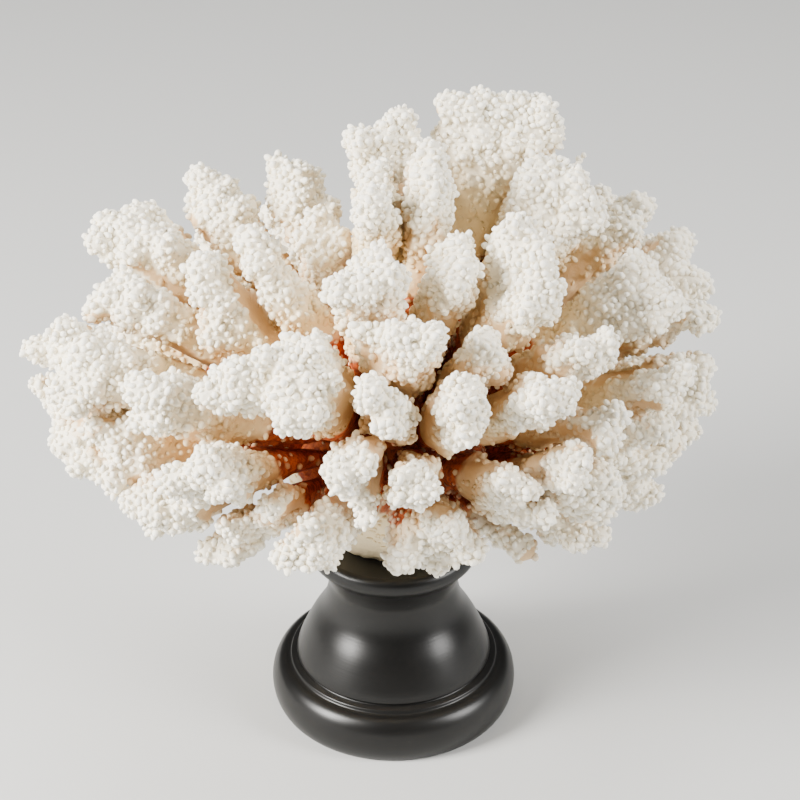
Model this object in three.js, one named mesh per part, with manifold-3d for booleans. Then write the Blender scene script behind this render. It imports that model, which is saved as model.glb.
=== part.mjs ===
// A branching coral on a turned wooden stand, built with three.js and manifold-3d.
// Millimetres, +Z up, the front is -Y. The origin is the centre of the stand's underside.

import * as THREE from "three";
import { mergeVertices } from "three/addons/utils/BufferGeometryUtils.js";
import Module from "manifold-3d";

const wasm = await Module();
wasm.setup();

// The turned stand
const footRadius = 41;
const footFlatRadius = 38.5;
const footHeight = 16.2;
const footRound = 5;
const filletRadius = 34.6;
const filletTop = 17.6;
const bellRadius = 32.6;
const neckRadius = 21.5;
const neckHeight = 46;
const collarRadius = 28.5;
const collarRound = 2.4;
const collarLip = 3.4;
const standHeight = 64.6;
const standSegments = 32;

// The coral's crown is an ellipsoid that the tips of the branches reach
const crownCentre = new THREE.Vector3(-6, 4, 134);
const crownRadii = new THREE.Vector3(114.5, 84.5, 73.5);

// The trunk grew from a narrow holdfast, cut flat where it rests on the stand
const restGap = 0.3;
const holdfastRadius = 17;
const trunkTop = new THREE.Vector3(0, 5, 97);
const trunkTopRadius = 39;

// Every branch leaves the trunk as a round stalk, forks, and ends in lobes
const rootReach = 30;
const stalkRadius = 9.5;
const forkFraction = 0.6;
const webInBranch = 4;
const webBetweenBranches = 5;
const pieceGap = 0.9;

// The size of the cells that the surfaces are drawn with, and the share of their triangles that
// is left once the flattest edges are joined
const cell = 5.4;
const keptShare = 0.305;

// One branch: its name and the lobes at its ends. A lobe is [azimuth, elevation, radius, reach].
// Azimuth 0 is the front and 90 is +X, elevation is above the crown's middle, both in degrees.
// The radius is in mm, and a reach of 1 is a lobe that just touches the crown's ellipsoid.
const branches = [
  ["branch_low_left", [[-45, -22, 7, 1], [-33, -6, 6.5, 1], [-27, 2, 6, 1], [-24, -5, 5.5, 1],
    [-38, -25, 6.5, 1], [-49, -34, 4.5, 1]]],
  ["branch_low_left_fan", [[-41, -44, 5.5, 1], [-33, -43, 6, 1], [-30, -27, 6, 0.95],
    [-16, -6, 3.5, 1.04]]],
  ["branch_low_front_left", [[-15, -31, 6, 1], [-9, -32, 6.5, 1], [-12, -23, 6.5, 0.95], [-28, -46, 4, 0.9]]],
  ["branch_front_left", [[-4, 6, 6.5, 1], [-5, 0, 4.5, 1], [0, 8, 6.5, 0.94], [-1, -13, 4.5, 0.95]]],
  ["branch_front", [[6, 2, 7, 1], [5, -5, 4.5, 1], [9, -1, 3.5, 1.01]]],
  ["branch_low_front", [[7, -43, 6, 0.95], [18, -50, 6, 0.96], [24, -39, 6.5, 0.98],
    [15, -21, 6.5, 0.95]]],
  ["finger_front_left", [[0, 25, 6, 1], [3, 19, 6, 1], [4, 13, 5, 1]]],
  ["finger_front_right", [[17, 25, 6, 1], [15, 19, 7, 1], [16, 12, 5, 1]]],
  ["leaf_inner_right", [[26, 31, 7, 0.84], [28, 27, 5.5, 0.86]]],
  ["branch_left_front", [[-27, 21, 8, 1], [-22, 27, 6.5, 1], [-15, 32, 7.5, 0.96], [-11, 34, 5.5, 0.95],
    [-12, 19, 8.5, 1.02], [-8, 24, 6.5, 0.9]]],
  ["branch_left", [[-44, 17, 6, 0.97], [-41, 7, 6, 0.97], [-39, 13, 6, 0.92]]],
  ["branch_far_left_high", [[-76, 10, 7, 1], [-67, 20, 6, 1], [-60, 18, 6, 0.95], [-61, 4, 9, 0.98]]],
  ["branch_far_left_low", [[-80, -5, 6.5, 1], [-69, -15, 6.5, 1], [-65, -23, 6.5, 1], [-53, -16, 6, 0.97],
    [-60, -4, 8, 0.92]]],
  ["branch_upper_left_outer", [[-109, 42, 5.5, 0.95], [-100, 38, 5, 0.97], [-92, 34, 4.5, 0.95],
    [-93, 37, 7, 0.88], [-90, 42, 5.5, 0.8]]],
  ["branch_upper_left_lower", [[-75, 31, 7.5, 0.87], [-75, 24, 5.5, 0.9], [-70, 25, 7, 0.77]]],
  ["branch_upper_left_back", [[-127, 48, 7, 0.93], [-113, 47, 6, 0.81], [-117, 52, 6, 0.76]]],
  ["branch_upper_left_front", [[-66, 50, 6, 0.81], [-57, 42, 6, 0.76], [-53, 28, 6, 0.64]]],
  ["branch_upper_left_inner", [[-61, 61, 6, 0.78], [-49, 55, 6, 0.7], [-43, 47, 5.5, 0.63]]],
  ["branch_top_left_back", [[-146, 55, 7, 0.85], [-153, 58, 6.5, 0.81], [-136, 59, 6, 0.71]]],
  ["branch_top_left_front", [[-133, 73, 5, 0.65], [-105, 71, 6, 0.6], [-122, 79, 4.5, 0.53]]],
  ["branch_centre_left", [[2, 57, 6.5, 0.95], [-7, 50, 7, 0.95], [4, 50, 6.5, 0.94]]],
  ["branch_centre_low", [[7, 37, 7, 0.97], [12, 36, 5, 0.97], [-1, 40, 6.5, 0.92], [5, 31, 5, 0.93]]],
  ["finger_inner", [[31, 60, 7, 0.9], [25, 51, 6.5, 0.88]]],
  ["branch_right_inner", [[50, 58, 6, 0.98], [50, 50, 6.5, 0.98], [38, 41, 6.5, 0.93], [44, 40, 6, 0.93]]],
  ["crown_left", [[156, 78, 6.5, 1.12], [-169, 84, 5.5, 1.03], [8, 84, 7.5, 1], [0, 72, 6.5, 1]]],
  ["crown_top", [[139, 72, 7.5, 1.2], [131, 66, 8, 1.2], [124, 62, 7.5, 1.2], [118, 58, 5.5, 1.14]]],
  ["crown_knob", [[65, 80, 7.5, 1.05], [35, 73, 5.5, 1.05]]],
  ["crown_right", [[91, 63, 7.5, 1.05], [99, 57, 6.5, 1.03], [86, 55, 6.5, 1.02], [116, 51, 5.5, 1.07],
    [87, 50, 6, 1]]],
  ["branch_right_upper", [[103, 40, 6, 1.04], [96, 38, 5.5, 0.97], [125, 31, 5, 0.99]]],
  ["branch_right_outer", [[99, 27, 8, 1], [94, 17, 7.5, 1], [79, 17, 5.5, 1]]],
  ["branch_right_shoulder", [[78, 34, 7.5, 0.97], [71, 24, 7, 0.97]]],
  ["branch_far_right", [[76, 6, 6.5, 1], [74, -6, 7.5, 1], [62, 9, 7, 1], [79, -18, 5, 1.02]]],
  ["branch_low_right", [[57, -4, 5.5, 0.97], [70, -20, 5, 0.98], [68, -35, 7, 1.05], [74, -36, 5, 1.06],
    [64, -24, 5.5, 0.92]]],
  ["branch_right_blade", [[50, 24, 6.5, 0.95], [44, 26, 5.5, 0.93]]],
  ["branch_right_front", [[31, 18, 7.5, 1], [35, 19, 6, 1], [27, 16, 5, 1]]],
  ["branch_right_middle", [[44, 7, 6.5, 0.97], [41, 2, 5.5, 0.97]]],
  ["branch_right_low_front", [[35, -1, 7, 1], [44, -14, 7.5, 1], [33, -6, 5.5, 1], [46, -24, 5, 1],
    [40, -20, 5, 0.97]]],
  ["branch_front_right_low", [[24, -4, 5.5, 0.97], [27, -9, 4.5, 0.97], [32, -26, 4.5, 0.94],
    [33, -18, 4, 0.96]]],
  ["twig_low_right", [[48, -36, 5, 1.05], [51, -35, 4, 1.05], [46, -40, 4, 1.03]]],
  ["stub_low_right", [[42, -48, 4.5, 0.97], [42, -44, 4, 0.96], [40, -50, 4.5, 0.8]]],
  ["branch_back_left_outer", [[-104, -6, 7, 0.9], [-112, -14, 6.5, 0.92], [-118, 2, 6, 0.86]]],
  ["branch_back_left_low", [[-130, -18, 7, 0.95], [-122, -30, 6, 0.95], [-140, -28, 6, 0.95]]],
  ["branch_back_left", [[-138, -2, 7, 0.95], [-148, -8, 6.5, 0.97], [-144, 10, 6, 0.86]]],
  ["branch_back_middle_left", [[-162, 0, 7, 0.96], [-170, 10, 6.5, 0.95], [-158, 16, 6, 0.85]]],
  ["branch_back_low", [[-168, -24, 7, 0.98], [178, -34, 6, 0.98], [-158, -34, 6, 0.96]]],
  ["branch_back", [[174, 18, 7, 0.97], [165, 26, 6.5, 0.98], [178, 32, 6, 0.93]]],
  ["branch_back_low_right", [[155, -16, 7, 1], [146, -28, 6, 1], [164, -8, 6.5, 0.98]]],
  ["branch_back_right", [[148, 12, 7.5, 1], [138, 4, 6.5, 1], [150, 24, 6, 0.96]]],
  ["branch_back_right_upper", [[150, 44, 7, 1.02], [138, 36, 7, 1.02], [160, 40, 6, 0.98]]],
  ["branch_back_right_outer", [[122, 10, 7, 1], [112, 2, 6.5, 1], [128, -6, 6, 0.98]]],
  ["branch_back_right_low", [[112, -24, 7, 1], [124, -30, 6, 1], [100, -16, 6.5, 0.98]]],
];

// A lobe's centre, so that a reach of 1 puts its skin on the crown's ellipsoid
function lobeCentre([azimuth, elevation, radius, reach]) {
  const turn = THREE.MathUtils.degToRad(azimuth);
  const lift = THREE.MathUtils.degToRad(elevation);
  const direction = new THREE.Vector3(
    Math.cos(lift) * Math.sin(turn),
    -Math.cos(lift) * Math.cos(turn),
    Math.sin(lift),
  );
  const radii = crownRadii.clone().subScalar(radius).multiplyScalar(reach);
  return direction.multiply(radii).add(crownCentre);
}

// A rod that tapers from one ball to the next
function rod(from, fromRadius, to, toRadius) {
  const along = to.clone().sub(from);
  return { from, along, fromRadius, toRadius, lengthSquared: along.lengthSq() };
}

// Signed distance from a point to a rod's skin, negative inside
function rodDistance(x, y, z, piece) {
  const dx = x - piece.from.x;
  const dy = y - piece.from.y;
  const dz = z - piece.from.z;
  const reached = (dx * piece.along.x + dy * piece.along.y + dz * piece.along.z) / piece.lengthSquared;
  const t = Math.min(1, Math.max(0, reached));
  const gap = Math.hypot(dx - t * piece.along.x, dy - t * piece.along.y, dz - t * piece.along.z);
  return gap - piece.fromRadius - t * (piece.toRadius - piece.fromRadius);
}

// The smaller of two distances, rounded where they are alike so that the shapes grow together
function grownTogether(a, b, web) {
  const near = Math.max(web - Math.abs(a - b), 0) / web;
  return Math.min(a, b) - near * near * web / 4;
}

// The rods of one branch: a stalk from the trunk to the fork, then one to each lobe
function branchRods(lobes) {
  const centres = lobes.map(lobeCentre);
  const middle = new THREE.Vector3();
  for (const centre of centres) {
    middle.addScaledVector(centre, 1 / centres.length);
  }
  const outward = middle.clone().sub(trunkTop);
  const fork = trunkTop.clone().addScaledVector(outward, forkFraction);
  const root = trunkTop.clone().addScaledVector(outward.normalize(), rootReach);
  const toLobes = centres.map((centre, index) => rod(fork, stalkRadius, centre, lobes[index][2]));
  return [rod(root, stalkRadius, fork, stalkRadius), ...toLobes];
}

function trunkRods() {
  const cut = new THREE.Vector3(trunkTop.x, trunkTop.y, standHeight - holdfastRadius / 2);
  return [rod(cut, holdfastRadius, trunkTop, trunkTopRadius)];
}

const pieces = [
  { name: "coral_trunk", rods: trunkRods() },
  ...branches.map(([name, lobes]) => ({ name, rods: branchRods(lobes) })),
];

// The distance to each piece of the coral by itself
function ownDistances(x, y, z) {
  return pieces.map((piece) => piece.rods.reduce(
    (nearest, part) => grownTogether(nearest, rodDistance(x, y, z, part), webInBranch),
    Infinity,
  ));
}

// One value per piece, negative inside it: inside the fused coral, above the cut, and nearer to
// this piece than to any other, less half of the gap that parts them
function pieceFields(x, y, z) {
  const own = ownDistances(x, y, z);
  const sorted = [...own].sort((a, b) => a - b);
  let fused = sorted[0];
  for (const other of sorted.slice(1, 4)) {
    fused = grownTogether(fused, other, webBetweenBranches);
  }
  const aboveCut = standHeight + restGap - z;
  const coral = Math.max(fused, aboveCut);
  return own.map((distance) => {
    const rival = distance === sorted[0] ? sorted[1] : sorted[0];
    return Math.max(coral, (distance - rival + pieceGap) / 2);
  });
}

// The grid that the surfaces are drawn on
const margin = 2 * cell;
const low = crownCentre.clone().sub(crownRadii).subScalar(margin);
const high = crownCentre.clone().add(crownRadii).addScalar(margin + 14);
low.z = standHeight + restGap - 1.5 * cell;
const counts = high.clone().sub(low).divideScalar(cell).ceil();
const [nx, ny, nz] = [counts.x, counts.y, counts.z];
const strideY = nx;
const strideZ = nx * ny;
const total = nx * ny * nz;

// Which column, row and layer of the grid a sample is in
function gridPlace(index) {
  return [index % nx, Math.floor(index / strideY) % ny, Math.floor(index / strideZ)];
}

function sampleGrid() {
  const samples = pieces.map(() => new Float32Array(total));
  for (let index = 0; index < total; index += 1) {
    const [i, j, k] = gridPlace(index);
    const values = pieceFields(low.x + i * cell, low.y + j * cell, low.z + k * cell);
    values.forEach((value, piece) => {
      samples[piece][index] = value;
    });
  }
  return samples;
}

// Keep only the largest run of samples inside a piece that hang together
function keepLargest(values) {
  const label = new Int32Array(total);
  const sizes = [0];
  for (let start = 0; start < total; start += 1) {
    if (values[start] >= 0 || label[start] !== 0) continue;
    const mark = sizes.length;
    const stack = [start];
    label[start] = mark;
    sizes.push(0);
    while (stack.length > 0) {
      const at = stack.pop();
      sizes[mark] += 1;
      for (const step of [1, -1, strideY, -strideY, strideZ, -strideZ]) {
        const next = at + step;
        if (values[next] < 0 && label[next] === 0) {
          label[next] = mark;
          stack.push(next);
        }
      }
    }
  }
  const largest = sizes.indexOf(Math.max(...sizes));
  for (let index = 0; index < total; index += 1) {
    if (values[index] < 0 && label[index] !== largest) values[index] = cell / 2;
  }
}

// The samples of the box that holds a piece, with one more row on every side
function samplesAround(values) {
  const first = [nx, ny, nz];
  const last = [0, 0, 0];
  for (let index = 0; index < total; index += 1) {
    if (values[index] >= 0) continue;
    gridPlace(index).forEach((value, axis) => {
      first[axis] = Math.min(first[axis], value - 1);
      last[axis] = Math.max(last[axis], value + 1);
    });
  }
  const found = [];
  for (let k = first[2]; k <= last[2]; k += 1) {
    for (let j = first[1]; j <= last[1]; j += 1) {
      for (let i = first[0]; i <= last[0]; i += 1) {
        found.push(i + j * strideY + k * strideZ);
      }
    }
  }
  return found;
}

// Take single samples off a piece until no two parts of its surface meet at an edge or a corner
const faceSteps = [[1, strideY], [1, strideZ], [strideY, strideZ]];
const lowerSteps = [0, 1, strideY, strideY + 1];
const cornerSteps = [...lowerSteps, ...lowerSteps.map((step) => step + strideZ)];
const nearZero = 0.08;

function separateCorners(values, box) {
  const takeWeakest = (candidates) => {
    const inside = candidates.filter((at) => values[at] < 0);
    const weakest = inside.reduce((a, b) => (values[a] > values[b] ? a : b));
    values[weakest] = nearZero;
  };
  let changed = true;
  while (changed) {
    changed = false;
    for (const index of box) {
      for (const [u, v] of faceSteps) {
        const a = values[index] < 0;
        const b = values[index + u] < 0;
        const c = values[index + u + v] < 0;
        const d = values[index + v] < 0;
        if (a === c && b === d && a !== b) {
          takeWeakest([index, index + u, index + u + v, index + v]);
          changed = true;
        }
      }
      for (let corner = 0; corner < 4; corner += 1) {
        const near = values[index + cornerSteps[corner]] < 0;
        const far = values[index + cornerSteps[7 - corner]] < 0;
        if (near !== far) continue;
        const alike = cornerSteps.filter((step) => (values[index + step] < 0) === near);
        if (alike.length === 2) {
          takeWeakest(cornerSteps.map((step) => index + step));
          changed = true;
        }
      }
    }
  }
  for (const index of box) {
    if (Math.abs(values[index]) < nearZero) values[index] = values[index] < 0 ? -nearZero : nearZero;
  }
}

// The twelve edges of a cell, as pairs of corner numbers
const cellEdges = [
  [0, 1], [2, 3], [4, 5], [6, 7],
  [0, 2], [1, 3], [4, 6], [5, 7],
  [0, 4], [1, 5], [2, 6], [3, 7],
];

// A closed surface around the negative samples, with one vertex in each cell that it crosses
function drawSurface(values, box) {
  const vertexOf = new Map();
  const positions = [];
  for (const index of box) {
    const corners = cornerSteps.map((step) => values[index + step]);
    const crossing = new THREE.Vector3();
    let crossings = 0;
    for (const [a, b] of cellEdges) {
      if ((corners[a] < 0) === (corners[b] < 0)) continue;
      const t = corners[a] / (corners[a] - corners[b]);
      const start = new THREE.Vector3(a & 1, (a >> 1) & 1, a >> 2);
      const end = new THREE.Vector3(b & 1, (b >> 1) & 1, b >> 2);
      crossing.add(start.lerp(end, t));
      crossings += 1;
    }
    if (crossings === 0) continue;
    const base = new THREE.Vector3(...gridPlace(index));
    vertexOf.set(index, positions.length);
    positions.push(crossing.divideScalar(crossings).add(base).multiplyScalar(cell).add(low));
  }
  const triangles = [];
  const axes = [[1, strideY, strideZ], [strideY, strideZ, 1], [strideZ, 1, strideY]];
  for (const index of box) {
    for (const [step, u, v] of axes) {
      const startsInside = values[index] < 0;
      if (startsInside === values[index + step] < 0) continue;
      const ring = [index - u - v, index - v, index, index - u].map((at) => vertexOf.get(at));
      if (!startsInside) ring.reverse();
      const [a, b, c, d] = ring;
      const first = positions[a].distanceTo(positions[c]);
      const second = positions[b].distanceTo(positions[d]);
      if (first <= second) triangles.push(a, b, c, a, c, d);
      else triangles.push(a, b, d, b, c, d);
    }
  }
  return { positions, triangles };
}

// Move each vertex onto the true skin, at most a third of a cell
const probe = 0.4;
const longestMove = cell / 3;

function settleOnSkin(positions, piece) {
  for (const point of positions) {
    const start = point.clone();
    for (let pass = 0; pass < 2; pass += 1) {
      const value = pieceFields(point.x, point.y, point.z)[piece];
      const slope = new THREE.Vector3(
        pieceFields(point.x + probe, point.y, point.z)[piece] - value,
        pieceFields(point.x, point.y + probe, point.z)[piece] - value,
        pieceFields(point.x, point.y, point.z + probe)[piece] - value,
      ).divideScalar(probe);
      const steepness = Math.max(slope.lengthSq(), 0.25);
      point.addScaledVector(slope, -value / steepness);
      point.sub(start).clampLength(0, longestMove).add(start);
    }
    point.z = Math.max(point.z, standHeight + restGap);
  }
}

// The planes around a vertex, as the matrix and vector of their summed squared distances
function planesAt(faces, positions) {
  const sums = positions.map(() => ({ matrix: new Float64Array(9), vector: [0, 0, 0], constant: 0 }));
  for (const face of faces) {
    const [a, b, c] = face.map((index) => positions[index]);
    const normal = b.clone().sub(a).cross(c.clone().sub(a));
    const area = normal.length();
    normal.divideScalar(Math.max(area, 1e-9));
    const offset = -normal.dot(a);
    const n = normal.toArray();
    for (const index of face) {
      const sum = sums[index];
      for (let row = 0; row < 3; row += 1) {
        sum.vector[row] += area * offset * n[row];
        for (let column = 0; column < 3; column += 1) {
          sum.matrix[row * 3 + column] += area * n[row] * n[column];
        }
      }
      sum.constant += area * offset * offset;
    }
  }
  return sums;
}

// Where two joined vertices lie best, and how far that takes the skin from where it was
const pullToMiddle = 0.6;
const shortEdgesFirst = 0.02;

function bestJoin(first, second, start, end) {
  const middle = start.clone().add(end).multiplyScalar(0.5);
  const matrix = first.matrix.map((value, index) => value + second.matrix[index]);
  const vector = first.vector.map((value, index) => value + second.vector[index]);
  const pulled = matrix.map((value, index) => (index % 4 === 0 ? value + pullToMiddle : value));
  const place = middle.clone().multiplyScalar(pullToMiddle).sub(new THREE.Vector3(...vector));
  place.applyMatrix3(new THREE.Matrix3().set(...pulled).invert());
  if (place.distanceTo(middle) > start.distanceTo(end)) place.copy(middle);
  const turned = place.clone().applyMatrix3(new THREE.Matrix3().set(...matrix));
  const offsets = 2 * place.dot(new THREE.Vector3(...vector)) + first.constant + second.constant;
  const error = place.dot(turned) + offsets;
  return { place, cost: error + shortEdgesFirst * start.distanceToSquared(end) };
}

function facesAround(faces, count) {
  const around = Array.from({ length: count }, () => []);
  for (const face of faces) {
    for (const index of face) around[index].push(face);
  }
  return around;
}

// Whether the faces keep facing the same way when two vertices move to one place
function staysUpright(faces, moved, positions, place) {
  return faces.every((face) => {
    const before = face.map((index) => positions[index]);
    const after = face.map((index) => (moved.includes(index) ? place : positions[index]));
    const was = before[1].clone().sub(before[0]).cross(before[2].clone().sub(before[0])).normalize();
    const is = after[1].clone().sub(after[0]).cross(after[2].clone().sub(after[0]));
    return is.length() > 0.4 && is.normalize().dot(was) > 0.35;
  });
}

// Join the ends of the edges that change the shape least, until the kept share is left
function thinned(positions, triangles) {
  let faces = [];
  for (let index = 0; index < triangles.length; index += 3) faces.push(triangles.slice(index, index + 3));
  const target = Math.max(60, Math.round(faces.length * keptShare));
  let joined = Infinity;
  while (faces.length > target && joined > 0) {
    const planes = planesAt(faces, positions);
    const around = facesAround(faces, positions.length);
    const joins = [];
    for (const face of faces) {
      for (let side = 0; side < 3; side += 1) {
        const [from, to] = [face[side], face[(side + 1) % 3]];
        if (from > to) continue;
        const best = bestJoin(planes[from], planes[to], positions[from], positions[to]);
        joins.push({ from, to, ...best });
      }
    }
    joins.sort((a, b) => a.cost - b.cost);
    const touched = new Set();
    const becomes = new Map();
    joined = 0;
    const most = Math.max(8, Math.round(joins.length * 0.06));
    for (const { from, to, place } of joins) {
      if (joined >= most || faces.length - 2 * joined <= target) break;
      const ring = [...new Set([...around[from], ...around[to]])];
      const neighbours = new Set(ring.flat());
      if ([...neighbours].some((index) => touched.has(index))) continue;
      const nearFrom = new Set(around[from].flat());
      const shared = [...new Set(around[to].flat())].filter((index) => nearFrom.has(index));
      if (shared.length !== 4) continue;
      const others = ring.filter((face) => !(face.includes(from) && face.includes(to)));
      if (!staysUpright(others, [from, to], positions, place)) continue;
      neighbours.forEach((index) => touched.add(index));
      positions[from] = place;
      becomes.set(to, from);
      joined += 1;
    }
    faces = faces.map((face) => face.map((index) => becomes.get(index) ?? index))
      .filter((face) => new Set(face).size === 3);
  }
  return onlyUsed(positions, faces);
}

// The vertices that faces use, numbered anew
function onlyUsed(positions, faces) {
  const number = new Map();
  const kept = [];
  const numbered = faces.flat().map((index) => {
    if (!number.has(index)) {
      number.set(index, kept.length);
      kept.push(positions[index]);
    }
    return number.get(index);
  });
  return { positions: kept, triangles: numbered };
}

function toManifold(positions, triangles) {
  const vertProperties = new Float32Array(positions.flatMap((point) => [point.x, point.y, point.z]));
  const triVerts = new Uint32Array(triangles);
  return new wasm.Manifold(new wasm.Mesh({ numProp: 3, vertProperties, triVerts }));
}

function toGeometry(solid) {
  const mesh = solid.getMesh();
  const geometry = new THREE.BufferGeometry();
  geometry.setAttribute("position", new THREE.BufferAttribute(new Float32Array(mesh.vertProperties), 3));
  geometry.setIndex(new THREE.BufferAttribute(new Uint32Array(mesh.triVerts), 1));
  geometry.computeVertexNormals();
  return geometry;
}

// The largest body of a solid, without the crumbs that a cut can leave
function largestBody(solid) {
  const bodies = solid.decompose();
  return bodies.reduce((largest, body) => (body.volume() > largest.volume() ? body : largest));
}

// Cut a piece back where its facets still reach into an earlier neighbour
function cutClear(solid, neighbours) {
  let cleared = solid;
  for (const neighbour of neighbours) {
    const shared = cleared.intersect(neighbour);
    if (shared.isEmpty()) continue;
    const room = toManifold(thickened(neighbour), [...neighbour.getMesh().triVerts]);
    cleared = largestBody(cleared.subtract(room));
  }
  return cleared;
}

// A solid's vertices, moved outwards by the gap that touching pieces keep
function thickened(solid) {
  const geometry = toGeometry(solid);
  const places = geometry.getAttribute("position");
  const normals = geometry.getAttribute("normal");
  const moved = [];
  for (let index = 0; index < places.count; index += 1) {
    const place = new THREE.Vector3().fromBufferAttribute(places, index);
    const outward = new THREE.Vector3().fromBufferAttribute(normals, index);
    moved.push(place.addScaledVector(outward, restGap));
  }
  return moved;
}

// The pieces of coral as solids
function growCoral() {
  const samples = sampleGrid();
  const solids = [];
  for (let number = 0; number < pieces.length; number += 1) {
    const values = samples[number];
    const box = samplesAround(values);
    separateCorners(values, box);
    keepLargest(values);
    const surface = drawSurface(values, box);
    settleOnSkin(surface.positions, number);
    const light = thinned(surface.positions, surface.triangles);
    solids.push(cutClear(toManifold(light.positions, light.triangles), solids));
  }
  return pieces.map((piece, number) => ({ name: piece.name, solid: solids[number] }));
}

// The stand's profile as [radius, height], from the middle of the foot up to the middle of the top
function standProfile() {
  const footMiddle = footRadius - footRound;
  const footEdge = new THREE.EllipseCurve(
    footMiddle,
    footHeight * 0.465,
    footRound,
    footHeight * 0.535,
    -Math.PI / 3,
    Math.PI / 2,
  );
  const bell = new THREE.SplineCurve([
    new THREE.Vector2(bellRadius, filletTop + 1.1),
    new THREE.Vector2(bellRadius - 1.1, filletTop + 4.9),
    new THREE.Vector2(27.8, 30.6),
    new THREE.Vector2(neckRadius + 1.8, 38.4),
    new THREE.Vector2(neckRadius, neckHeight),
    new THREE.Vector2(neckRadius + 0.8, neckHeight + 4.5),
    new THREE.Vector2(neckRadius + 2.8, neckHeight + 9),
    new THREE.Vector2(collarRadius - 1.2, standHeight - 6.3),
  ]);
  const collar = new THREE.EllipseCurve(
    collarRadius - collarRound,
    standHeight - collarLip,
    collarRound,
    collarLip,
    -Math.PI / 4,
    Math.PI / 2,
  );
  return [
    new THREE.Vector2(0, 0),
    new THREE.Vector2(footFlatRadius, 0),
    ...footEdge.getPoints(5).slice(1),
    new THREE.Vector2(filletRadius, footHeight + 0.3),
    new THREE.Vector2(filletRadius, filletTop),
    new THREE.Vector2(bellRadius - 0.7, filletTop + 0.5),
    ...bell.getPoints(7),
    ...collar.getPoints(3),
    new THREE.Vector2(0, standHeight),
  ];
}

function turnedStand() {
  const geometry = new THREE.LatheGeometry(standProfile(), standSegments);
  geometry.rotateX(Math.PI / 2);
  geometry.deleteAttribute("normal");
  geometry.deleteAttribute("uv");
  return mergeVertices(geometry, 1e-3);
}

const bleachedCoral = new THREE.MeshStandardMaterial({ color: 0xeee6d6, roughness: 0.85, metalness: 0 });
const creamCoral = new THREE.MeshStandardMaterial({ color: 0xdcc8a4, roughness: 0.9, metalness: 0 });
const blackWood = new THREE.MeshStandardMaterial({ color: 0x0e0d0c, roughness: 0.35, metalness: 0 });

function named(name, geometry, material) {
  const mesh = new THREE.Mesh(geometry, material.clone());
  mesh.name = name;
  return mesh;
}

const coralOnStand = new THREE.Group();
coralOnStand.add(named("turned_stand", turnedStand(), blackWood));
for (const { name, solid } of growCoral()) {
  const material = name === "coral_trunk" ? creamCoral : bleachedCoral;
  coralOnStand.add(named(name, toGeometry(solid), material));
}

export default coralOnStand;
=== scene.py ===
"""A bleached branching coral on a black turned stand, dressed for rendering.

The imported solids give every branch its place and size. This script grows a skin over each of them, covers
it with knuckles and warts, colours it from the rust-brown heart to the white tips, and turns the stand's
smooth profile. Lengths are in metres.
"""

import math

import bmesh
import bpy
import numpy as np
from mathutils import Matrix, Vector
from mathutils.bvhtree import BVHTree
from mathutils.kdtree import KDTree


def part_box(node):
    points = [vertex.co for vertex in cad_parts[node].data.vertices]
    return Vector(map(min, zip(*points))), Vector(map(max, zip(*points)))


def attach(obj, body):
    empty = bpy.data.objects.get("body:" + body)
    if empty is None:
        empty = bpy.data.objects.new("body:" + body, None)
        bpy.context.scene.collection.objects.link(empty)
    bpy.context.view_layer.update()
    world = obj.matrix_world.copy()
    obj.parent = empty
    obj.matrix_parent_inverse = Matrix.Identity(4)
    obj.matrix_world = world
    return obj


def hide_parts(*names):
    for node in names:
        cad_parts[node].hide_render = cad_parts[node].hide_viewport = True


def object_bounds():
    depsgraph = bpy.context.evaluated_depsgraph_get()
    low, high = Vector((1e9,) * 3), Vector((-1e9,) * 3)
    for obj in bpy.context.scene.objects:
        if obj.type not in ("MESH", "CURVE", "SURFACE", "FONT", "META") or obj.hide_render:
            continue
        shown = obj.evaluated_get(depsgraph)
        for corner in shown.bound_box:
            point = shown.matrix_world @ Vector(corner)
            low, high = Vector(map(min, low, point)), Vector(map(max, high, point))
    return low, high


bl_info = {
    "name": "Branching coral on a stand",
    "version": (1, 0, 0),
    "blender": (4, 5, 0),
    "location": "View3D > Sidebar > Coral",
    "description": "Grows a warty branching coral and its turned stand around the packed solids",
    "category": "Add Mesh",
}

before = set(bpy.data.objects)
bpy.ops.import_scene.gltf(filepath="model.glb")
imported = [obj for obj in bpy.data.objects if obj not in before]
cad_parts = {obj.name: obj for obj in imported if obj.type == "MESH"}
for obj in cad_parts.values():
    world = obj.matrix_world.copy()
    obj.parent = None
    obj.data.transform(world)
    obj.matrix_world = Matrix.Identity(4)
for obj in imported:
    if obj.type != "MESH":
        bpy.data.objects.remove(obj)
CAD_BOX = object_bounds()

MM = 0.001
STAND = "turned_stand"
TRUNK = "coral_trunk"
CORAL_NODES = sorted(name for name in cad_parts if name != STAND)

# The heart is the trunk's upper middle, where the branches start
TRUNK_LOW, TRUNK_HIGH = (Vector(corner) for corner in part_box(TRUNK))
HEART = Vector((
    (TRUNK_LOW.x + TRUNK_HIGH.x) / 2,
    (TRUNK_LOW.y + TRUNK_HIGH.y) / 2,
    TRUNK_HIGH.z - (TRUNK_HIGH.x - TRUNK_LOW.x) / 2,
))
STAND_HIGH = Vector(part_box(STAND)[1])


# Socket arithmetic for the materials

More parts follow.
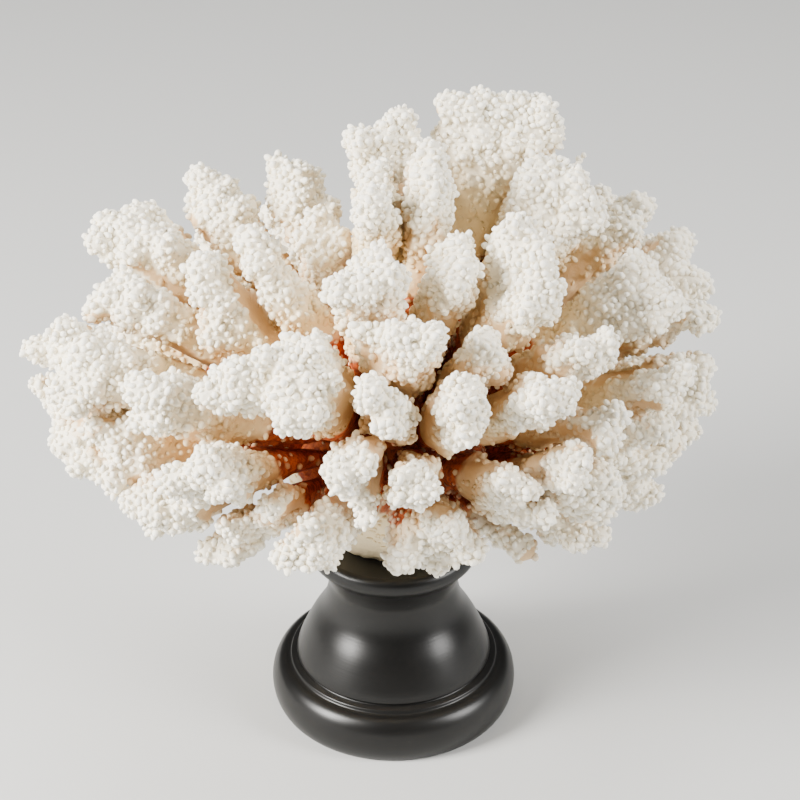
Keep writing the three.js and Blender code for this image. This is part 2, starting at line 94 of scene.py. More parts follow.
class Wire:
    """An output socket of a material, so that shader maths reads like arithmetic."""

    def __init__(self, tree, socket):
        self.tree = tree
        self.socket = socket

    def __add__(self, other):
        return maths(self.tree, "ADD", self, other)

    def __radd__(self, other):
        return maths(self.tree, "ADD", other, self)

    def __sub__(self, other):
        return maths(self.tree, "SUBTRACT", self, other)

    def __rsub__(self, other):
        return maths(self.tree, "SUBTRACT", other, self)

    def __mul__(self, other):
        return maths(self.tree, "MULTIPLY", self, other)

    def __rmul__(self, other):
        return maths(self.tree, "MULTIPLY", other, self)

    def ramp(self, low, high):
        """0 below low, 1 above high, and a smooth rise between them."""
        node = self.tree.nodes.new("ShaderNodeMapRange")
        node.interpolation_type = "SMOOTHSTEP"
        join(self.tree, self, node.inputs["Value"])
        node.inputs["From Min"].default_value = low
        node.inputs["From Max"].default_value = high
        return Wire(self.tree, node.outputs["Result"])


def join(tree, value, target):
    """Puts a wire or a plain value into a socket."""
    if isinstance(value, Wire):
        tree.links.new(value.socket, target)
    else:
        target.default_value = value


def maths(tree, operation, first, second):
    """One math node's result, from wires or plain numbers."""
    node = tree.nodes.new("ShaderNodeMath")
    node.operation = operation
    join(tree, first, node.inputs[0])
    join(tree, second, node.inputs[1])
    return Wire(tree, node.outputs[0])


class Finish:
    """A material being made: its node tree, its surface shader and a few ways to add to them."""

    def __init__(self, name):
        self.material = bpy.data.materials.new(name)
        self.material.use_nodes = True
        self.tree = self.material.node_tree
        self.shader = self.tree.nodes["Principled BSDF"]

    def node(self, kind, output=0, settings=None, inputs=None):
        """One node of that kind, with its inputs filled by name or number, as a wire from one output."""
        made = self.tree.nodes.new(kind)
        for key, value in (settings or {}).items():
            setattr(made, key, value)
        for key, value in (inputs or {}).items():
            join(self.tree, value, made.inputs[key])
        return Wire(self.tree, made.outputs[output])

    def place(self):
        """Where a point is on the object."""
        return self.node("ShaderNodeTexCoord", "Object")

    def attribute(self, name):
        """A value kept on the mesh."""
        return self.node("ShaderNodeAttribute", "Fac", {"attribute_name": name})

    def noise(self, scale, detail=3.0, roughness=0.55, place=None):
        """Smooth random values around a half."""
        inputs = {"Vector": place or self.place(), "Scale": scale, "Detail": detail, "Roughness": roughness}
        return self.node("ShaderNodeTexNoise", "Fac", inputs=inputs)

    def pores(self, scale):
        """The distance to the nearest of many scattered points."""
        return self.node("ShaderNodeTexVoronoi", "Distance", inputs={"Vector": self.place(), "Scale": scale})

    def mixed(self, factor, first, second):
        """Two colours mixed by a factor."""
        colours = {0: factor, 6: first, 7: second}
        return self.node("ShaderNodeMix", 2, {"data_type": "RGBA"}, colours)

    def distance(self, point):
        """How far a point of the surface is from a fixed point."""
        ends = {0: self.place(), 1: tuple(point)}
        return self.node("ShaderNodeVectorMath", "Value", {"operation": "DISTANCE"}, ends)

    def part_of_place(self, axis):
        """The X, Y or Z of a point of the surface."""
        return self.node("ShaderNodeSeparateXYZ", axis, inputs={"Vector": self.place()})

    def uniform(self, name, value):
        """Sets one of the surface shader's sockets to one value."""
        self.shader.inputs[name].default_value = value

    def varied(self, name, wire):
        """Feeds one of the surface shader's sockets."""
        join(self.tree, wire, self.shader.inputs[name])

    def bump(self, height, strength, distance):
        """Raises the surface's shading by a height."""
        inputs = {"Strength": strength, "Distance": distance, "Height": height}
        self.varied("Normal", self.node("ShaderNodeBump", "Normal", inputs=inputs))


# Materials

# How far from the heart the rust-brown remains reach, and how softly they end
RUST_REACH = 78 * MM
RUST_FADE = 5 * MM


def coral_finish(settings):
    """Limestone skeleton: white warty tips, cream bodies, tan painted shade in the hollows and a rust-brown
    heart.
    """
    finish = Finish("coral_skeleton")
    growth = finish.attribute("growth")
    openness = finish.attribute("openness")
    wart = finish.attribute("wart")

    # Whiter towards the tips and up the warts, with painted light where the skin is open to the room, and
    # painted shade in tan in the hollows
    mottle = finish.noise(90, 4)
    # Painted light: the share of open directions around the skin lightens it, on top of the whiter tips
    whiteness_and_painted_light = (growth * 0.8 + openness * 0.25 + mottle * 0.3).ramp(0.55, 1.18)
    whiteness_and_painted_light = whiteness_and_painted_light * (0.7 + wart * 0.3)
    colour = finish.mixed(whiteness_and_painted_light, settings.body_colour, settings.tip_colour)
    # Painted shade: tan mixed in where little of the room is open to the skin, less on the warts
    painted_shade = (openness + mottle * 0.3).ramp(0.55, 0.15)
    colour = finish.mixed(painted_shade * (0.85 - wart * 0.35), colour, settings.painted_shade_colour)

    # Rust in uneven patches near the heart, only where little light falls, and hardly on the warts
    patches = finish.noise(55, 3)
    depth = finish.distance(HEART) + patches * 0.024 + growth * 0.03
    sunless = (openness + patches * 0.5).ramp(0.80, 0.62)
    stain = depth.ramp(RUST_REACH + RUST_FADE, RUST_REACH) * sunless * finish.attribute("valley")
    crumbs = finish.noise(420, 4, 0.7)
    rust = finish.mixed(crumbs.ramp(0.38, 0.60), settings.dark_rust_colour, settings.rust_colour)
    colour = finish.mixed(stain * (1.0 - wart * 0.85), colour, rust)

    # Chalky, with a fine grain and pores, and crumbs where it is rusty
    finish.varied("Base Color", colour)
    finish.varied("Roughness", finish.noise(300) * 0.2 + 0.62)
    grain = finish.noise(1600, 3) * 0.6 + finish.pores(600) * 1.6
    finish.bump(grain + crumbs * stain * 8.0, 0.4, 0.3 * MM)
    return finish.material


def wood_finish(settings):
    """Ebonised wood: near black, a satin lacquer, faint turning lines and a few specks of dust."""
    finish = Finish("ebonised_wood")
    height = finish.part_of_place("Z")
    along = finish.node("ShaderNodeCombineXYZ", inputs={"Z": height * 1400})
    lines = finish.noise(1, 3, place=along)
    smudge = finish.noise(35, 4)
    dust = finish.noise(700, 2).ramp(0.74, 0.80) * finish.noise(60, 2).ramp(0.45, 0.7)
    colour = finish.mixed(smudge, settings.wood_colour, settings.worn_colour)
    colour = finish.mixed(dust * 0.35, colour, settings.dust_colour)
    finish.varied("Base Color", colour)
    finish.varied("Roughness", smudge * 0.14 + lines * 0.08 + 0.22)
    finish.uniform("Specular IOR Level", 0.35)
    finish.bump(lines + smudge * 0.3, 0.12, 0.2 * MM)
    return finish.material


def plain_finish(name, colour, roughness):
    """A smooth finish for the floor, with a barely uneven sheen."""
    finish = Finish(name)
    finish.uniform("Base Color", colour)
    finish.varied("Roughness", finish.noise(8) * 0.1 + roughness)
    return finish.material


# Mesh helpers

def carrying(mesh):
    """An object in the scene that carries a mesh while modifiers work on it."""
    carrier = bpy.data.objects.new("carrier", mesh)
    bpy.context.scene.collection.objects.link(carrier)
    return carrier


def taken_off(carrier):
    """The plain mesh that a carrier's modifiers have made, with the carrier taken away."""
    evaluated = carrier.evaluated_get(bpy.context.evaluated_depsgraph_get())
    result = bpy.data.meshes.new_from_object(evaluated)
    bpy.data.objects.remove(carrier)
    return result


def shaped(mesh, *steps):
    """The mesh after a row of modifiers, each given as its type and its settings."""
    carrier = carrying(mesh)
    for kind, settings in steps:
        modifier = carrier.modifiers.new(kind, kind)
        for key, value in settings.items():
            setattr(modifier, key, value)
    return taken_off(carrier)


def grown(mesh, tree, values):
    """The mesh after Geometry Nodes, with its named inputs set."""
    carrier = carrying(mesh)
    modifier = carrier.modifiers.new("growth", "NODES")
    modifier.node_group = tree
    for item in tree.interface.items_tree:
        if item.item_type == "SOCKET" and item.in_out == "INPUT" and item.name in values:
            modifier[item.identifier] = values[item.name]
    return taken_off(carrier)


def points_of(mesh):
    """A mesh's vertices as rows of X, Y, Z."""
    flat = np.empty(len(mesh.vertices) * 3, dtype=np.float32)
    mesh.vertices.foreach_get("co", flat)
    return flat.reshape(-1, 3)


def set_attribute(mesh, name, values):
    """Keeps one value per vertex on the mesh."""
    layer = mesh.attributes.new(name, "FLOAT", "POINT")
    layer.data.foreach_set("value", np.asarray(values, dtype=np.float32))


def get_attribute(mesh, name):
    """The values that set_attribute kept."""
    values = np.empty(len(mesh.vertices), dtype=np.float32)
    mesh.attributes[name].data.foreach_get("value", values)
    return values


def smooth_step(values, low, high):
    """0 below low, 1 above high, and a smooth rise between them."""
    t = np.clip((values - low) / (high - low), 0, 1)
    return t * t * (3 - 2 * t)


def show(mesh, name, material):
    """Puts a finished mesh into the scene as a piece at the origin."""
    mesh.name = name
    mesh.materials.clear()
    mesh.materials.append(material)
    piece = bpy.data.objects.new(name, mesh)
    bpy.context.scene.collection.objects.link(piece)
    return piece


def mesh_of(tool, name):
    """The finished mesh of a mesh tool."""
    mesh = bpy.data.meshes.new(name)
    tool.to_mesh(mesh)
    tool.free()
    return mesh


# The lumps that Geometry Nodes scatter, of about unit radius, standing on the skin along +Z

def lump_object(name, rings, top_height, sides, stretch=1.0, lean=0.0):
    """A closed dome from rings of (radius, height), ending in a point, with a wart value by height."""
    tool = bmesh.new()
    loops = []
    for number, (radius, height) in enumerate(rings):
        twist = math.pi / sides * (number % 2)
        angles = [2 * math.pi * side / sides + twist for side in range(sides)]
        shift = lean * max(height, 0)
        loops.append([
            tool.verts.new((radius * stretch * math.cos(a) + shift, radius / stretch * math.sin(a), height))
            for a in angles
        ])
    tool.faces.new(list(reversed(loops[0])))
    for number, (lower, upper) in enumerate(zip(loops, loops[1:])):
        for side in range(sides):
            after = (side + 1) % sides
            if number % 2:
                tool.faces.new((lower[side], lower[after], upper[after]))
                tool.faces.new((lower[side], upper[after], upper[side]))
            else:
                tool.faces.new((lower[side], lower[after], upper[side]))
                tool.faces.new((lower[after], upper[after], upper[side]))
    top = tool.verts.new((lean * top_height, 0, top_height))
    for side in range(sides):
        tool.faces.new((loops[-1][side], loops[-1][(side + 1) % sides], top))
    bmesh.ops.recalc_face_normals(tool, faces=tool.faces)
    for face in tool.faces:
        face.smooth = True
    mesh = mesh_of(tool, name)
    set_attribute(mesh, "wart", np.clip(points_of(mesh)[:, 2], 0, 1))
    return bpy.data.objects.new(name, mesh)


def lump_family(name, lumps):
    """A collection that holds lumps for the scattering to choose from."""
    family = bpy.data.collections.new(name)
    for lump in lumps:
        family.objects.link(lump)
    return family


def wart_family():
    """Warts as they grow: round knobs, oval ones, short fingers and fingers that lean."""
    knob = ((0.95, -0.4), (1.0, 0.12), (0.74, 0.56))
    finger = ((0.85, -0.4), (0.84, 0.5), (0.60, 1.1))
    return lump_family("warts", (
        lump_object("wart_1_round", knob, 0.78, 5),
        lump_object("wart_2_oval", knob, 0.85, 5, stretch=1.25, lean=0.1),
        lump_object("wart_3_finger", finger, 1.4, 5, lean=0.12),
        lump_object("wart_4_leaning", finger, 1.35, 5, stretch=1.15, lean=0.35),
    ))


def knuckle_family():
    """Knuckles: balls sunk halfway into the lobe, some of them oval."""
    ball = ((0.75, -0.9), (1.0, -0.3), (0.86, 0.35), (0.48, 0.75))
    return lump_family("knuckles", (
        lump_object("knuckle_1_round", ball, 0.9, 8),
        lump_object("knuckle_2_oval", ball, 0.9, 8, stretch=1.2),
    ))


# The wartiness of an old, bare body; that of a tip is 1
BARE_WARTINESS = 0.36


class Nodes:
    """A Geometry Nodes tree being made, with one way to add a node and its links."""

    def __init__(self, name):
        self.tree = bpy.data.node_groups.new(name, "GeometryNodeTree")

    def socket(self, name, kind, direction="INPUT", default=None):
        """A named input or output of the tree."""
        made = self.tree.interface.new_socket(name, in_out=direction, socket_type=kind)
        if default is not None:
            made.default_value = default

    def add(self, kind, inputs=None, **settings):
        """One node with its settings, and its inputs linked or filled by name or number."""
        made = self.tree.nodes.new(kind)
        for key, value in settings.items():
            setattr(made, key, value)
        for key, value in (inputs or {}).items():
            if isinstance(value, bpy.types.NodeSocket):
                self.tree.links.new(value, made.inputs[key])
            else:
                made.inputs[key].default_value = value
        return made

    def kept(self, name):
        """A value kept on the mesh."""
        return self.add("GeometryNodeInputNamedAttribute", {"Name": name}, data_type="FLOAT").outputs[0]

    def vector(self, x, y, z):
        """Three values as one vector."""
        return self.add("ShaderNodeCombineXYZ", {"X": x, "Y": y, "Z": z}).outputs[0]

    def maths(self, operation, first, second):
        """One math node's result."""
        return self.add("ShaderNodeMath", {0: first, 1: second}, operation=operation).outputs[0]

    def between(self, warty, least, most):
        """The least where the skin is bare, the most where it is wartiest."""
        return self.add("ShaderNodeMapRange", {
            "Value": warty, "From Min": BARE_WARTINESS, "From Max": 1.0, "To Min": least, "To Max": most,
        }).outputs["Result"]


def scatter_tree():
    """Lumps set over a skin: closer together, larger and taller where the skin is wartier."""
    nodes = Nodes("scatter_lumps")
    nodes.socket("Geometry", "NodeSocketGeometry", "OUTPUT")
    nodes.socket("Geometry", "NodeSocketGeometry")
    nodes.socket("Lumps", "NodeSocketCollection")
    nodes.socket("Spacing", "NodeSocketFloat", default=0.002)
    nodes.socket("Density", "NodeSocketFloat", default=1e6)
    nodes.socket("Smallest", "NodeSocketFloat", default=0.001)
    nodes.socket("Largest", "NodeSocketFloat", default=0.001)
    nodes.socket("Uneven", "NodeSocketFloat", default=0.25)
    nodes.socket("Flattest", "NodeSocketFloat", default=0.5)
    nodes.socket("Tallest", "NodeSocketFloat", default=1.0)
    nodes.socket("Tilt", "NodeSocketFloat", default=0.2)
    nodes.socket("Seed", "NodeSocketInt", default=1)
    nodes.socket("Material", "NodeSocketMaterial")
    given = nodes.add("NodeGroupInput").outputs
    warty = nodes.kept("warty")
    chance = nodes.maths("MULTIPLY", nodes.maths("POWER", warty, 0.6), nodes.kept("room"))
    points = nodes.add("GeometryNodeDistributePointsOnFaces", {
        "Mesh": given["Geometry"],
        "Distance Min": given["Spacing"],
        "Density Max": given["Density"],
        "Density Factor": chance,
        "Seed": given["Seed"],
    }, distribute_method="POISSON")
    back_tilt = nodes.maths("MULTIPLY", given["Tilt"], -1.0)
    least_turn = nodes.vector(back_tilt, back_tilt, 0.0)
    most_turn = nodes.vector(given["Tilt"], given["Tilt"], 2 * math.pi)
    turn = nodes.add("FunctionNodeRandomValue", {0: least_turn, 1: most_turn, "Seed": given["Seed"]},
                     data_type="FLOAT_VECTOR").outputs[0]
    turning = nodes.add("FunctionNodeEulerToRotation", {0: turn}).outputs[0]
    turned = nodes.add("FunctionNodeRotateRotation", {0: points.outputs["Rotation"], 1: turning},
                       rotation_space="LOCAL").outputs[0]
    least_share = nodes.maths("SUBTRACT", 1.0, given["Uneven"])
    most_share = nodes.maths("ADD", 1.0, given["Uneven"])
    share = nodes.add("FunctionNodeRandomValue", {2: least_share, 3: most_share, "Seed": given["Seed"]},
                      data_type="FLOAT").outputs[1]
    width = nodes.maths("MULTIPLY", nodes.between(warty, given["Smallest"], given["Largest"]), share)
    height = nodes.maths("MULTIPLY", width, nodes.between(warty, given["Flattest"], given["Tallest"]))
    lumps = nodes.add("GeometryNodeCollectionInfo", {
        "Collection": given["Lumps"], "Separate Children": True, "Reset Children": True}).outputs[0]
    copies = nodes.add("GeometryNodeInstanceOnPoints", {
        "Points": points.outputs["Points"],
        "Instance": lumps,
        "Pick Instance": True,
        "Rotation": turned,
        "Scale": nodes.vector(width, width, height),
    })
    whole = nodes.add("GeometryNodeJoinGeometry").inputs[0]
    nodes.tree.links.new(given["Geometry"], whole)
    nodes.tree.links.new(copies.outputs[0], whole)
    solid = nodes.add("GeometryNodeRealizeInstances", {0: whole.node.outputs[0]})
    dressed = nodes.add("GeometryNodeSetMaterial", {0: solid.outputs[0], "Material": given["Material"]})
    nodes.add("NodeGroupOutput", {0: dressed.outputs[0]})
    return nodes.tree


# The coral

# How far a branch's root is pushed into the trunk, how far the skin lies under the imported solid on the
# bodies and at the tips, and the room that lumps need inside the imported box
ROOT_DEPTH = 9 * MM
BODY_DEPTH = 0.4 * MM
TIP_DEPTH = 3.2 * MM
LUMP_ROOM = 6.3 * MM

# How near a root's corners are to the trunk
TOUCHING = 1.8 * MM

# Light is tried from a little above the skin, over this reach and in this many directions
LIGHT_START = 3 * MM
LIGHT_REACH = 26 * MM
LIGHT_DIRECTIONS = 8
LIGHT_SEED = 4

# A limb is old this far below its tip and fresh this far below it, and likewise by its share of the way
# from the crown's middle to its outside
OLD_BELOW_TIP = 54 * MM
FRESH_BELOW_TIP = 12 * MM
OLD_REACH = 0.54
FRESH_REACH = 0.88

# The openness from which lumps have room to grow
ROOMY = 0.13

# The heights around the heart over which rust sets in
RUST_LOW = -16 * MM
RUST_HIGH = 2 * MM

# The trunk was cut off flat: what lies just over the cut is laid on it, and warts set in above
CUT_HEIGHT = TRUNK_LOW.z
LAID_ON_CUT = CUT_HEIGHT + 2.5 * MM
BARE_HEIGHT = CUT_HEIGHT + 4 * MM
WARTY_HEIGHT = CUT_HEIGHT + 12 * MM

# How lumps of a kind stand: how thickly they are strewn per square metre, how much their sizes vary,
# their height on the bodies and at the tips as a share of their width, and how far they lean in radians
KNUCKLE_HABIT = {"Density": 1e6, "Uneven": 0.22, "Flattest": 0.8, "Tallest": 1.0, "Tilt": 0.15}
WART_HABIT = {"Density": 1.4e6, "Uneven": 0.38, "Flattest": 0.55, "Tallest": 1.0, "Tilt": 0.3}

# Their radius on the bodies as a share of that at the tips, and the first limb's seed
SMALLEST_KNUCKLE = 0.35
SMALLEST_WART = 0.9
KNUCKLE_SEED = 3
WART_SEED = 11


def solid_tool(name):
    """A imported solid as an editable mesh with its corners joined."""
    tool = bmesh.new()
    tool.from_mesh(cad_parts[name].data)
    tool.transform(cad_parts[name].matrix_world)
    bmesh.ops.remove_doubles(tool, verts=tool.verts, dist=1e-6)
    tool.normal_update()
    return tool


def rooted_solid(name, trunk):
    """A branch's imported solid, with the end that meets the trunk pushed down into it."""
    tool = solid_tool(name)
    for vertex in tool.verts:
        if trunk.find_nearest(vertex.co)[3] < TOUCHING:
            vertex.co += (HEART - vertex.co).normalized() * ROOT_DEPTH
    return mesh_of(tool, name)


def bare_limb(name, trunk, cell):
    """A limb's smooth shape, before its knuckles and warts."""
    solid = mesh_of(solid_tool(name), name) if name == TRUNK else rooted_solid(name, trunk)
    return shaped(
        solid,
        ("REMESH", {"mode": "VOXEL", "voxel_size": cell}),
        ("SMOOTH", {"factor": 0.5, "iterations": 5}),
    )


def tree_of(names):
    """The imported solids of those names, ready to be asked what is near or in the way."""
    corners = []
    faces = []
    for name in names:
        tool = solid_tool(name)
        start = len(corners)
        corners.extend(vertex.co.copy() for vertex in tool.verts)
        faces.extend([start + vertex.index for vertex in face.verts] for face in tool.faces)
        tool.free()
    return BVHTree.FromPolygons(corners, faces)


def crown_reach(points):
    """How near a point is to the crown's outside: 0 at its middle, 1 on the ellipsoid in its box."""
    lows, highs = zip(*(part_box(name) for name in CORAL_NODES))
    low = np.min(lows, axis=0)
    high = np.max(highs, axis=0)
    middle = (low + high) / 2
    return np.linalg.norm((points - middle) / ((high - low) / 2), axis=1)


def clear_share(points, normals, solids):
    """The share of scattered directions in which each point has nothing nearby."""
    rays = np.random.default_rng(LIGHT_SEED).normal(size=(LIGHT_DIRECTIONS, 3))
    rays /= np.linalg.norm(rays, axis=1)[:, None]
    shares = []
    for point, normal in zip(points, normals):
        start = Vector(point + normal * LIGHT_START)
        turned = (Vector(ray if ray @ normal > 0 else -ray) for ray in rays)
        clear = [solids.ray_cast(start, ray, LIGHT_REACH)[0] is None for ray in turned]
        shares.append(sum(clear) / len(clear))
    return np.array(shares)


def growth_of(points, name):
    """How freshly grown each point of a limb is: 0 on its old body, 1 at its tips."""
    if name == TRUNK:
        return np.zeros(len(points))
    from_heart = np.linalg.norm(points - np.array(HEART), axis=1)
    below_tip = from_heart.max() - from_heart
    near_own_tip = smooth_step(below_tip, OLD_BELOW_TIP, FRESH_BELOW_TIP)
    near_crown = smooth_step(crown_reach(points), OLD_REACH, FRESH_REACH)
    return np.maximum(near_own_tip, near_crown)


def normals_of(mesh):
    """A mesh's vertex normals as rows of X, Y, Z."""
    flat = np.empty(len(mesh.vertices) * 3, dtype=np.float32)
    mesh.vertex_normals.foreach_get("vector", flat)
    return flat.reshape(-1, 3)


def measure_limb(mesh, name, solids):
    """Growth, openness, room, wartiness and valley of every vertex of a limb, kept on its mesh."""
    points = points_of(mesh)
    growth = growth_of(points, name)
    if name == TRUNK:
        warty = BARE_WARTINESS * smooth_step(points[:, 2], BARE_HEIGHT, WARTY_HEIGHT)
    else:
        warty = BARE_WARTINESS + (1 - BARE_WARTINESS) * growth
    openness = clear_share(points, normals_of(mesh), solids)
    set_attribute(mesh, "growth", growth)
    set_attribute(mesh, "openness", openness)
    set_attribute(mesh, "room", smooth_step(openness, 0.0, ROOMY))
    set_attribute(mesh, "warty", warty)
    set_attribute(mesh, "valley", smooth_step(points[:, 2] - HEART.z, RUST_LOW, RUST_HIGH))
    set_attribute(mesh, "wart", np.zeros(len(points)))


def sink_tips(mesh):
    """Pulls the skin in under its knuckles and warts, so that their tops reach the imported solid."""
    depth = BODY_DEPTH + (TIP_DEPTH - BODY_DEPTH) * get_attribute(mesh, "growth")
    sunk = points_of(mesh) - normals_of(mesh) * depth[:, None]
    sunk = np.clip(sunk, np.array(CAD_BOX[0]) + LUMP_ROOM, np.array(CAD_BOX[1]) - LUMP_ROOM)
    mesh.vertices.foreach_set("co", sunk.astype(np.float32).ravel())


def carry_over(source, target):
    """Copies what was measured on one skin to the nearest places of another."""
    places = points_of(source)
    finder = KDTree(len(places))
    for number, place in enumerate(places):
        finder.insert(place, number)
    finder.balance()
    nearest = [finder.find(place)[1] for place in points_of(target)]
    for name in ("growth", "openness", "room", "warty", "valley", "wart"):
        if name in target.attributes:
            target.attributes.remove(target.attributes[name])
        set_attribute(target, name, get_attribute(source, name)[nearest])


def rest_on_cut(mesh):
    """Flattens the trunk's base onto the height where it was cut."""
    for vertex in mesh.vertices:
        if vertex.co.z < LAID_ON_CUT:
            vertex.co.z = CUT_HEIGHT


def fused_skin(knuckled, limb, name, cell):
    """A limb and its knuckles as one smooth skin, with what was measured on the limb."""
    skin = shaped(
        knuckled,
        ("REMESH", {"mode": "VOXEL", "voxel_size": cell}),
        ("SMOOTH", {"factor": 0.5, "iterations": 1}),
    )
    if name == TRUNK:
        rest_on_cut(skin)
    skin.shade_smooth()
    carry_over(limb, skin)
    return skin


def length_setting(name, description, default):
    """A setting that is a length in metres."""
    return bpy.props.FloatProperty(name=name, description=description, default=default, unit="LENGTH")


def colour_setting(name, description, default):
    """A setting that is a colour."""
    return bpy.props.FloatVectorProperty(
        name=name, description=description, default=default, size=4, min=0, max=1, subtype="COLOR")


class CoralSettings(bpy.types.PropertyGroup):
    """How the coral is grown and coloured."""

    limb_cell: length_setting("Limb cell", "Cell size of the bare limbs", 1.8 * MM)
    skin_cell: length_setting("Skin cell", "Cell size of the knuckled skin", 1.7 * MM)
    knuckle_spacing: length_setting("Knuckle spacing", "Least distance between knuckles", 7.2 * MM)
    knuckle_radius: length_setting("Knuckle radius", "Mean radius of the knuckles at the tips", 4.4 * MM)
    wart_spacing: length_setting("Wart spacing", "Least distance between warts", 1.88 * MM)
    wart_radius: length_setting("Wart radius", "Mean radius of the warts at the tips", 1.15 * MM)
    tip_colour: colour_setting("Tips", "Fresh warty tips", (0.94, 0.905, 0.80, 1))
    body_colour: colour_setting("Bodies", "Older bodies of the branches", (0.86, 0.70, 0.43, 1))
    # The tan that paints shade into the hollows
    painted_shade_colour: colour_setting("Painted shade", "Where little light falls", (0.68, 0.43, 0.20, 1))
    rust_colour: colour_setting("Rust", "Dried remains near the heart", (0.56, 0.11, 0.012, 1))
    dark_rust_colour: colour_setting("Dark rust", "The darker crumbs among them", (0.24, 0.035, 0.004, 1))


class CORAL_OT_grow(bpy.types.Operator):
    """Grows a knuckled, warty skin over each of the coral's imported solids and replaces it."""

    bl_idname = "coral.grow"
    bl_label = "Grow the coral"

    def execute(self, context):
        settings = context.scene.coral_settings
        material = coral_finish(settings)
        scatter = scatter_tree()
        knuckles = knuckle_family()
        warts = wart_family()
        trunk = tree_of([TRUNK])
        solids = tree_of(CORAL_NODES)
        for number, name in enumerate(CORAL_NODES):
            limb = bare_limb(name, trunk, settings.limb_cell)
            measure_limb(limb, name, solids)
            sink_tips(limb)
            knuckled = grown(limb, scatter, {
                **KNUCKLE_HABIT,
                "Lumps": knuckles,
                "Spacing": settings.knuckle_spacing,
                "Smallest": settings.knuckle_radius * SMALLEST_KNUCKLE,
                "Largest": settings.knuckle_radius,
                "Seed": KNUCKLE_SEED + number,
                "Material": material,
            })
            skin = fused_skin(knuckled, limb, name, settings.skin_cell)
            warty = grown(skin, scatter, {
                **WART_HABIT,
                "Lumps": warts,
                "Spacing": settings.wart_spacing,
                "Smallest": settings.wart_radius * SMALLEST_WART,
                "Largest": settings.wart_radius,
                "Seed": WART_SEED + number,
                "Material": material,
            })
            piece = show(warty, f"warty_{name}", material)
            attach(piece, "root")
            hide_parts(name)
        return {"FINISHED"}


# The stand

class StandSettings(bpy.types.PropertyGroup):
    """How finely the stand is turned, and its colours."""

    segments: bpy.props.IntProperty(name="Segments", description="Faces around the stand", default=128)
    wood_colour: colour_setting("Wood", "The ebonised wood", (0.0025, 0.0024, 0.0023, 1))
    worn_colour: colour_setting("Worn wood", "The wood where it is a little worn", (0.006, 0.0055, 0.005, 1))
    dust_colour: colour_setting("Dust", "Specks of dust", (0.25, 0.24, 0.22, 1))


FOOT_RADIUS = STAND_HIGH.x
STAND_HEIGHT = STAND_HIGH.z


def arc(middle, radii, start, end, count):
    """Points (radius, height) along part of an ellipse, between two angles in degrees."""
    angles = np.radians(np.linspace(start, end, count))
    return [(middle[0] + radii[0] * math.cos(a), middle[1] + radii[1] * math.sin(a)) for a in angles]


def flowing(knots, count):
    """Points along a smooth curve through the knots."""
    padded = [knots[0], *knots, knots[-1]]
    found = []
    for first, second, third, fourth in zip(padded, padded[1:], padded[2:], padded[3:]):
        a, b, c, d = (np.array(knot) for knot in (first, second, third, fourth))
        for t in np.linspace(0, 1, count, endpoint=False):
            squared = (2 * a - 5 * b + 4 * c - d) * t * t
            cubed = (3 * b - a - 3 * c + d) * t ** 3
            found.append(tuple(0.5 * (2 * b + (c - a) * t + squared + cubed)))
    return [*found, knots[-1]]


def turned_profile():
    """The stand's profile: rounded foot, fillet, bell, neck, flared collar and flat top."""
    foot_round = 5 * MM
    foot_height = 16.2 * MM
    fillet = 34.6 * MM
    fillet_top = 17.6 * MM
    bell = 32.6 * MM
    neck = 21.5 * MM
    neck_height = 46 * MM
    collar = 28.5 * MM
    collar_round = 2.4 * MM
    lip = 3.4 * MM
    foot_middle = (FOOT_RADIUS - foot_round, foot_height * 0.465)
    foot = arc(foot_middle, (foot_round, foot_height * 0.535), -60, 90, 16)
    sweep = flowing([
        (bell, fillet_top + 1.1 * MM),
        (bell - 1.1 * MM, fillet_top + 4.9 * MM),
        (27.8 * MM, 30.6 * MM),
        (neck + 1.8 * MM, 38.4 * MM),
        (neck, neck_height),
        (neck + 0.8 * MM, neck_height + 4.5 * MM),
        (neck + 2.8 * MM, neck_height + 9 * MM),
        (collar - 1.2 * MM, STAND_HEIGHT - 6.3 * MM),
    ], 5)
    edge = arc((collar - collar_round, STAND_HEIGHT - lip), (collar_round, lip), -45, 90, 9)
    return [
        *foot,
        (fillet + 0.4 * MM, foot_height + 0.1 * MM),
        (fillet, foot_height + 0.5 * MM),
        (fillet, fillet_top - 0.3 * MM),
        (fillet - 0.3 * MM, fillet_top),
        (bell - 0.4 * MM, fillet_top + 0.1 * MM),
        (bell - 0.8 * MM, fillet_top + 0.5 * MM),
        *sweep,
        *edge,
    ]


def turned_mesh(profile, segments):
    """A closed solid of revolution about Z, with flat round ends."""
    tool = bmesh.new()
    turns = [2 * math.pi * number / segments for number in range(segments)]
    rings = [[tool.verts.new((r * math.cos(a), r * math.sin(a), z)) for a in turns] for r, z in profile]
    for lower, upper in zip(rings, rings[1:]):
        for number in range(segments):
            after = (number + 1) % segments
            side = tool.faces.new((lower[number], lower[after], upper[after], upper[number]))
            side.smooth = True
    for ring in (list(reversed(rings[0])), rings[-1]):
        tool.faces.new(ring)
        for first, second in zip(ring, ring[1:] + ring[:1]):
            tool.edges.get((first, second)).smooth = False
    return mesh_of(tool, "turned")


class CORAL_OT_turn_stand(bpy.types.Operator):
    """Turns the black stand's smooth profile in place of its faceted solid."""

    bl_idname = "coral.turn_stand"
    bl_label = "Turn the stand"

    def execute(self, context):
        settings = context.scene.stand_settings
        mesh = turned_mesh(turned_profile(), settings.segments)
        piece = show(mesh, "ebonised_stand", wood_finish(settings))
        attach(piece, "root")
        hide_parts(STAND)
        return {"FINISHED"}


# The stage

